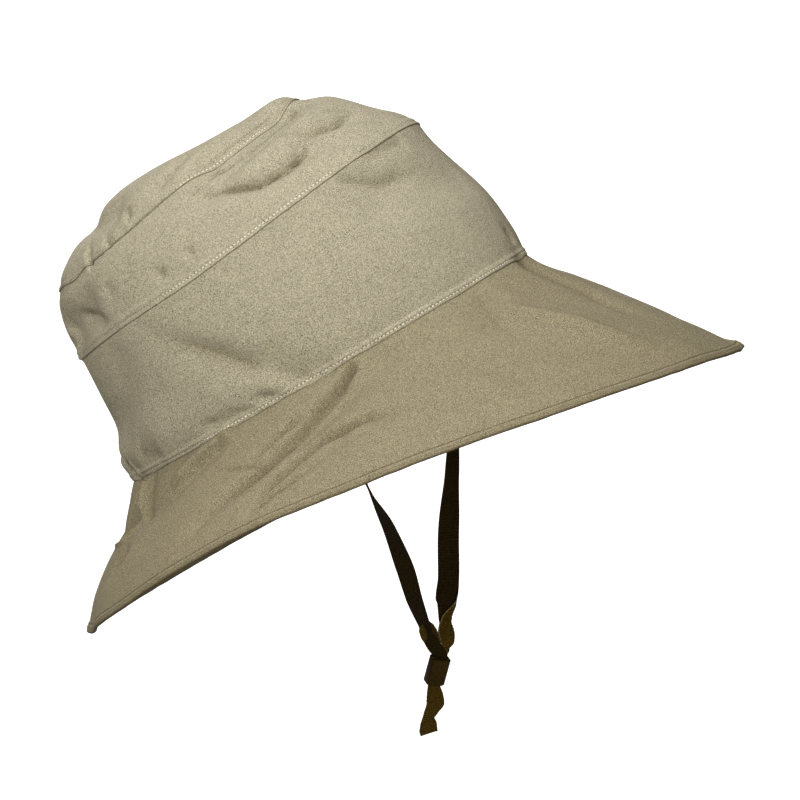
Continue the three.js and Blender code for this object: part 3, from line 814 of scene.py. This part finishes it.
def stitchRow(name, line, normals, finishes, pulled):
    model, modelFaces = stitchShape()
    closed = np.concatenate([line, line[:1]])
    run = np.concatenate([[0], np.cumsum(np.linalg.norm(np.diff(closed, axis=0), axis=1))])
    count = int(round(run[-1] / stitch["pitch"]))
    lifts = np.concatenate([normals, normals[:1]])
    points, faces, looks = [], [], []
    thread = (stitch["length"], stitch["radius"] * stitch["wide"], stitch["radius"] * stitch["high"])
    hole = (stitch["hole"], stitch["hole"] * stitch["holeWide"], stitch["hole"] * stitch["holeHigh"])

    def at(distance):
        return (np.array([np.interp(distance % run[-1], run, closed[:, a]) for a in range(3)]),
                unit(np.array([np.interp(distance % run[-1], run, lifts[:, a]) for a in range(3)])))

    for i in range(count):
        middle = i * run[-1] / count
        place = at(middle)[0]
        # the thread is pulled down into the cloth towards the front and the back
        away = abs(abs(math.degrees(math.atan2(place[1], place[0]))) - pulled["middle"]) - pulled["shown"]
        wander = pulled["wander"] * noise.noise(Vector(place) / stitch["wanderSize"])
        deep = pulled["most"] * smooth(away / stitch["pullRun"]) + wander
        # each thread is followed by a dark blob at its needle hole, painted shade in the hole
        for size, offset, look in ((thread, 0, 0), (hole, 0.5, 1)):
            here = middle + offset * stitch["pitch"]
            place, up = at(here)
            place = place - up * deep * (1 - look)
            ahead = at(here + stitch["ahead"])[0] - at(here - stitch["ahead"])[0]
            sway = stitch["sway"] * math.sin(i * stitch["swayStep"])
            along = unit(ahead - up * (ahead @ up))
            side = np.cross(up, along)
            along, side = (along * math.cos(sway) + side * math.sin(sway),
                           side * math.cos(sway) - along * math.sin(sway))
            start = len(points)
            points += list(place + np.outer(model[:, 2] * size[0], along)
                           + np.outer(model[:, 1] * size[1], side) + np.outer(model[:, 0] * size[2], up))
            faces += [tuple(start + v for v in face) for face in modelFaces]
            looks += [look] * len(modelFaces)
    piece = newPiece(name, toRow(np.array(points)), faces, finishes[0])
    piece.data.materials.append(finishes[1])
    piece.data.polygons.foreach_set("material_index", looks)
    smoothShade(piece, stitch["shade"])
    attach(piece, "root")
    print(name, count, "stitches")
    return piece


# stations from the sewn end down: x, side, z and width; here the right and the left strand's turns
# follow, and below one turn, how much is folded over to the front, and how the ribs slant
strapTop = [
    (18.3, 78.4, 25, 10, 14, 14), (24.2, 78.8, 16, 10, 12, 12), (29, 76, 4, 10, -14, -20),
    (32.5, 69, -9, 10, -40, -52), (35.2, 60, -23, 10, -54, -72), (38.4, 48.7, -40, 10, -60, -90),
    (42.1, 37.1, -59, 10, -27, -76), (45.4, 25.5, -82, 10, -5, -40),
]
strapRightStations = [(*station[:4], station[4], 0, 0) for station in strapTop] + [
    (47.5, 18, -101, 9.4, -10, 0, 0), (48.7, 9, -116, 8, -20, 0, 0.1),
    (50.2, 3.2, -126, 6.2, 28, 0, 0.2), (53.1, 0.55, -131.6, 5.6, 45, 0, 0),
    (52.3, 0.48, -134.4, 5.6, 45, 0, 0), (51.3, 0.48, -138, 5.6, 45, 0, 0),
]
strapLeftStations = [(*station[:4], station[5], 0, 0) for station in strapTop] + [
    (48.6, 18, -101, 9.8, -20, 0, 0), (49.9, 12.5, -109, 10.6, -22, 0.1, 0),
    (50.4, 9, -116, 11, -24, 0.42, 0.1), (52.2, 5.6, -122, 11.8, -30, 0.66, 0.2),
    (53.2, 3.8, -125.6, 10.4, -38, 0.7, 0.3), (52, 0.6, -131.6, 5.6, -45, 0, 0.2),
    (51.35, 0.48, -134.4, 5.6, -45, 0, 0), (50.35, 0.48, -138, 5.6, -45, 0, 0),
]
tailStations = [
    (50.3, 0, -139.8, 5.6, -45, 0, 0.6), (49.1, 0, -145.6, 5.6, -42, 0, 1.2),
    (49.7, 0, -151.5, 7.8, -25, 0, 1.6), (49.8, 0, -154.4, 8.4, -22, 0, 1.4),
    (48.3, 0, -158, 6.4, -22, 0, 0.6), (46.6, 0, -161.8, 5.3, -22, 0, -0.1),
    (46.6, 0, -165.2, 7.6, -22, 0, -0.3), (46.5, 0, -168.8, 8.5, -22, 0, -0.35),
    (46.5, 0, -170, 7.2, -22, 0, -0.35),
]
# the ribbon's short turned-back end behind the right strand, just above the slider
leafStations = [
    (50.2, 10.3, -112.2, 2, 23, 0, -0.2), (49.9, 9.4, -114.4, 6, 23, 0, -0.2),
    (49.5, 8, -117.2, 8.2, 23, 0, -0.2), (49.5, 5.6, -121, 8.2, 24, 0, -0.2),
    (50.1, 3.2, -124.6, 6.8, 28, 0, -0.2), (51.5, 1.2, -128.2, 4.4, 36, 0, 0),
    (52.6, 0, -131.4, 3, 45, 0, 0),
]
ribbonForm = {"thick": 0.7, "across": 24, "edge": 0.12, "stepsPerStation": 12, "foldRadius": 0.55,
              "endSlant": 0.36, "slantFrom": 2.2, "slantRun": 1.2, "crowd": 0.055, "look": 0.02,
              "beadFrom": 0.86, "beadRun": 0.1, "edgeThin": 0.5, "turnedShare": 0.05, "shade": 50}


def curveThrough(points, place):
    # a point on a smooth curve through the stations, eased by their spacing
    k = min(int(place), len(points) - 2)
    t = place - k
    p1, p2 = points[k], points[k + 1]
    p0 = points[k - 1] if k > 0 else 2 * p1 - p2
    p3 = points[k + 2] if k + 2 < len(points) else 2 * p2 - p1
    d0, d1, d2 = (max(np.linalg.norm(b - a), 1e-6) ** 0.5 for a, b in ((p0, p1), (p1, p2), (p2, p3)))
    m1 = ((p1 - p0) / d0 - (p2 - p0) / (d0 + d1) + (p2 - p1) / d1) * d1
    m2 = ((p2 - p1) / d1 - (p3 - p1) / (d1 + d2) + (p3 - p2) / d2) * d1
    return (2 * t ** 3 - 3 * t ** 2 + 1) * p1 + (t ** 3 - 2 * t ** 2 + t) * m1 \
        + (3 * t ** 2 - 2 * t ** 3) * p2 + (t ** 3 - t ** 2) * m2


def ribbonSection(width, folded):
    # the ribbon's middle line across, as places across and forward, with the way each place faces
    radius = ribbonForm["foldRadius"]
    bend = min(math.pi * radius, width * folded)
    flat = width * (1 - folded) - bend / 2
    shown = max(flat, width - flat - bend)
    places = []
    for j in range(ribbonForm["across"] + 1):
        t = j / ribbonForm["across"]
        # steps closer together at both selvages
        t = t - ribbonForm["crowd"] * math.sin(2 * math.pi * t)
        s = width * t
        if s <= flat:
            across, forward, angle = s, 0, 0
        elif s < flat + bend:
            angle = (s - flat) / radius
            across, forward = flat + radius * math.sin(angle), radius * (1 - math.cos(angle))
        else:
            angle = bend / radius
            rest = s - flat - bend
            across = flat + radius * math.sin(angle) + rest * math.cos(angle)
            forward = radius * (1 - math.cos(angle)) + rest * math.sin(angle)
        places.append((across, forward, angle, t))
    middle = (flat + radius * math.sin(bend / radius) if folded > 0 else flat) - shown / 2
    return [(across - middle, forward, angle, t) for across, forward, angle, t in places]


def ribbonPiece(name, stations, hand, node, finishes, endSlant=0.0):
    middles = np.array([(x, hand * side, z) for x, side, z, *rest in stations], float)
    table = np.array(stations, float)
    steps = ribbonForm["stepsPerStation"]
    count = (len(stations) - 1) * steps
    points, uvs, run, lastPlace = [], [], 0.0, None
    for i in range(count + 1):
        place = i / steps
        middle = curveThrough(middles, place)
        ahead = unit(curveThrough(middles, min(place + ribbonForm["look"], len(stations) - 1))
                     - curveThrough(middles, max(place - ribbonForm["look"], 0)))
        k = min(int(place), len(stations) - 2)
        # halfway between an eased and an even change from one station to the next
        change = table[k + 1] - table[k]
        width, turn, folded, slant = (table[k] + change * smooth(place - k) * 0.5
                                      + change * (place - k) * 0.5)[3:]
        turn = math.radians(-hand * turn)
        across = np.array([math.cos(turn), math.sin(turn), 0])
        across = unit(across - ahead * (across @ ahead))
        face = np.cross(ahead, across)
        if lastPlace is not None:
            run += np.linalg.norm(middle - lastPlace)
        lastPlace = middle
        section = ribbonSection(width, folded)
        cut = endSlant * smooth((place - (len(stations) - ribbonForm["slantFrom"])) / ribbonForm["slantRun"])
        loop = []
        for side in (1, -1):
            for x, forward, angle, t in (section if side > 0 else section[::-1]):
                u = 2 * t - 1
                bead = ribbonForm["edge"] * smooth((abs(u) - ribbonForm["beadFrom"]) / ribbonForm["beadRun"])
                thin = ribbonForm["edgeThin"] if t in (0, 1) else 1
                level = side * (ribbonForm["thick"] / 2 + bead) * thin
                loop.append(middle + across * (x - math.sin(angle) * level)
                            + face * (forward + math.cos(angle) * level) - ahead * cut * x)
                uvs.append((u * width / 2000, (run - slant * u * width / 2) / 1000))
        points.append(loop)
    points = np.array(points) / 1000
    rows = points.shape[1]
    faces = [tuple(reversed(f)) for f in tubeFaces(count + 1, rows, False, True)]
    # the dark front face, the paler reverse and its light selvages
    half = rows // 2
    turned = ribbonForm["across"] * ribbonForm["turnedShare"]
    looks = []
    for face in faces:
        low, high = min(v % rows for v in face), max(v % rows for v in face)
        column = low if high - low == 1 else rows - 1
        onReverse = column >= half
        fromEdge = min(column - half, rows - 2 - column)
        looks.append(0 if not onReverse else 2 if fromEdge < turned else 1)
    faces.append(tuple(range(rows)))
    faces.append(tuple(reversed([count * rows + k for k in range(rows)])))
    looks += [1, 1]
    corner = [uvs[v] for face in faces for v in face]
    piece = newPiece(name, points.reshape(-1, 3), faces, finishes[0], corner)
    for finish in finishes[1:]:
        piece.data.materials.append(finish)
    piece.data.polygons.foreach_set("material_index", looks)
    smoothShade(piece, ribbonForm["shade"])
    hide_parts(node)
    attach(piece, "root")
    print(name, round(run, 1), "mm long")


sliderForm = {
    "place": (0.0507, 0, -0.1385), "tilt": 15, "turn": 45, "size": (0.009, 0.0064, 0.0124),
    "corner": 0.0017, "cornerSteps": 6, "rim": 0.00045, "rimSteps": 3, "rimAngle": 50,
    "slot": (0.007, 0.0033), "slotCorner": 0.0015, "slotSteps": 5,
    "footInset": 0.00045, "footLength": 0.0006,
    "dimple": 0.0013, "dimpleAside": -0.0004, "dimpleOut": 0.0009, "dimpleUp": -0.0008,
    "nub": 0.0006, "nubIn": 0.0007, "nubForward": -0.0012, "nubUp": 0.0002,
    "shade": 35,
}


def roundedBlock(name, size, corner, segments):
    # a block whose four upright edges are rounded
    bpy.ops.object.select_all(action="DESELECT")
    bpy.ops.mesh.primitive_cube_add(size=1)
    block = bpy.context.object
    block.name = name
    block.scale = size
    bpy.ops.object.transform_apply(location=False, rotation=False, scale=True)
    bpy.ops.object.mode_set(mode="EDIT")
    bpy.ops.mesh.select_mode(type="EDGE")
    bpy.ops.mesh.select_all(action="DESELECT")
    bpy.ops.object.mode_set(mode="OBJECT")
    for edge in block.data.edges:
        ends = [block.data.vertices[v].co for v in edge.vertices]
        edge.select = abs(ends[0].z - ends[1].z) > size[2] / 2
    bpy.ops.object.mode_set(mode="EDIT")
    bpy.ops.mesh.bevel(offset=corner, segments=segments, affect="EDGES")
    bpy.ops.object.mode_set(mode="OBJECT")
    return block


def selectFaces(piece, wanted):
    select(piece)
    bpy.ops.object.mode_set(mode="EDIT")
    bpy.ops.mesh.select_mode(type="FACE")
    bpy.ops.mesh.select_all(action="DESELECT")
    bpy.ops.object.mode_set(mode="OBJECT")
    for face in piece.data.polygons:
        face.select = wanted(face)
    bpy.ops.object.mode_set(mode="EDIT")


def makeSlider(finish):
    f = sliderForm
    barrel = roundedBlock("strapBarrel", f["size"], f["corner"], f["cornerSteps"])
    selectFaces(barrel, lambda face: face.normal.z < -0.9)
    bpy.ops.mesh.inset(thickness=f["footInset"])
    bpy.ops.mesh.extrude_region_move(TRANSFORM_OT_translate={"value": (0, 0, -f["footLength"])})
    bpy.ops.object.mode_set(mode="OBJECT")
    width, depth, height = f["size"]
    slot = roundedBlock("slotCutter", (*f["slot"], height * 2), f["slotCorner"], f["slotSteps"])
    bpy.ops.object.select_all(action="DESELECT")
    dimplePlace = (f["dimpleAside"], -depth / 2 - f["dimpleOut"], f["dimpleUp"])
    bpy.ops.mesh.primitive_uv_sphere_add(segments=24, ring_count=16, radius=f["dimple"], location=dimplePlace)
    dimple = bpy.context.object
    for name, cutter in (("slot", slot), ("dimple", dimple)):
        cut = barrel.modifiers.new(name, "BOOLEAN")
        cut.object = cutter
        cut.solver = "EXACT"
    edge = barrel.modifiers.new("edge", "BEVEL")
    edge.width = f["rim"]
    edge.segments = f["rimSteps"]
    edge.limit_method = "ANGLE"
    edge.angle_limit = math.radians(f["rimAngle"])
    applyModifiers(barrel)
    for cutter in (slot, dimple):
        bpy.data.objects.remove(cutter)
    bpy.ops.object.select_all(action="DESELECT")
    nubPlace = (-width / 2 + f["nubIn"], f["nubForward"], height / 2 + f["nubUp"])
    bpy.ops.mesh.primitive_uv_sphere_add(segments=16, ring_count=10, radius=f["nub"], location=nubPlace)
    # the new nub is still selected and joins the barrel
    barrel.select_set(True)
    bpy.context.view_layer.objects.active = barrel
    bpy.ops.object.join()
    select(barrel)
    barrel.rotation_mode = "ZYX"
    barrel.rotation_euler = (0, math.radians(f["tilt"]), math.radians(f["turn"]))
    barrel.location = f["place"]
    bpy.ops.object.transform_apply(location=True, rotation=True, scale=True)
    barrel.data.materials.clear()
    barrel.data.materials.append(finish)
    smoothShade(barrel, f["shade"])
    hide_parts("strap_slider")
    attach(barrel, "root")
    print("slider made")


addCamera()
addLights()
addFloor()
print("camera, lights and floor placed")
grainGroup = makeGrainGroup()
crownFinish = clothFinish("crownNylon", cloth["crownColour"], cloth["crownShade"], grainGroup)
brimFinish = clothFinish("brimNylon", cloth["brimColour"], cloth["brimShade"], grainGroup)
threadFinish = moulded("paleThread", grainGroup)
hemThreadFinish = moulded("hemThread", grainGroup)
holeShadeFinish = moulded("needleHoleShade", grainGroup)
strapFinish = ribbonFinish("ribbonFront", "front", grainGroup)
reverseFinish = ribbonFinish("ribbonReverse", "reverse", grainGroup)
selvageFinish = ribbonFinish("ribbonSelvage", "selvage", grainGroup)
sliderFinish = moulded("sliderPlastic", grainGroup)
print("finishes made")

for name, spec in panels.items():
    base, downs, piece = clothPanel(name, brimFinish if name == "brimCloth" else crownFinish)
    sewn = []
    if spec["panel"] < 3:
        line, lift = lineAt(base, downs, lengths[spec["panel"]], lap["stitchLine"], -stitch["sunk"])
        sewn = [stitchRow(name + "Stitches", line, lift, (threadFinish, holeShadeFinish),
                          threadPull[name])]
line, lift, piece = clothHem(brimFinish)
sewn = stitchRow("hemStitches", line, lift, (hemThreadFinish, holeShadeFinish),
                 threadPull["brimHem"])
frontOut = (strapFinish, reverseFinish, selvageFinish)
reverseOut = (reverseFinish, strapFinish, selvageFinish)
ribbonPiece("strapRight", strapRightStations, -1, "strap_right", frontOut)
ribbonPiece("strapLeft", strapLeftStations, 1, "strap_left", frontOut)
ribbonPiece("strapLeaf", leafStations, -1, "strap_right", reverseOut)
ribbonPiece("strapTail", tailStations, 1, "strap_tail", reverseOut, ribbonForm["endSlant"])
makeSlider(sliderFinish)
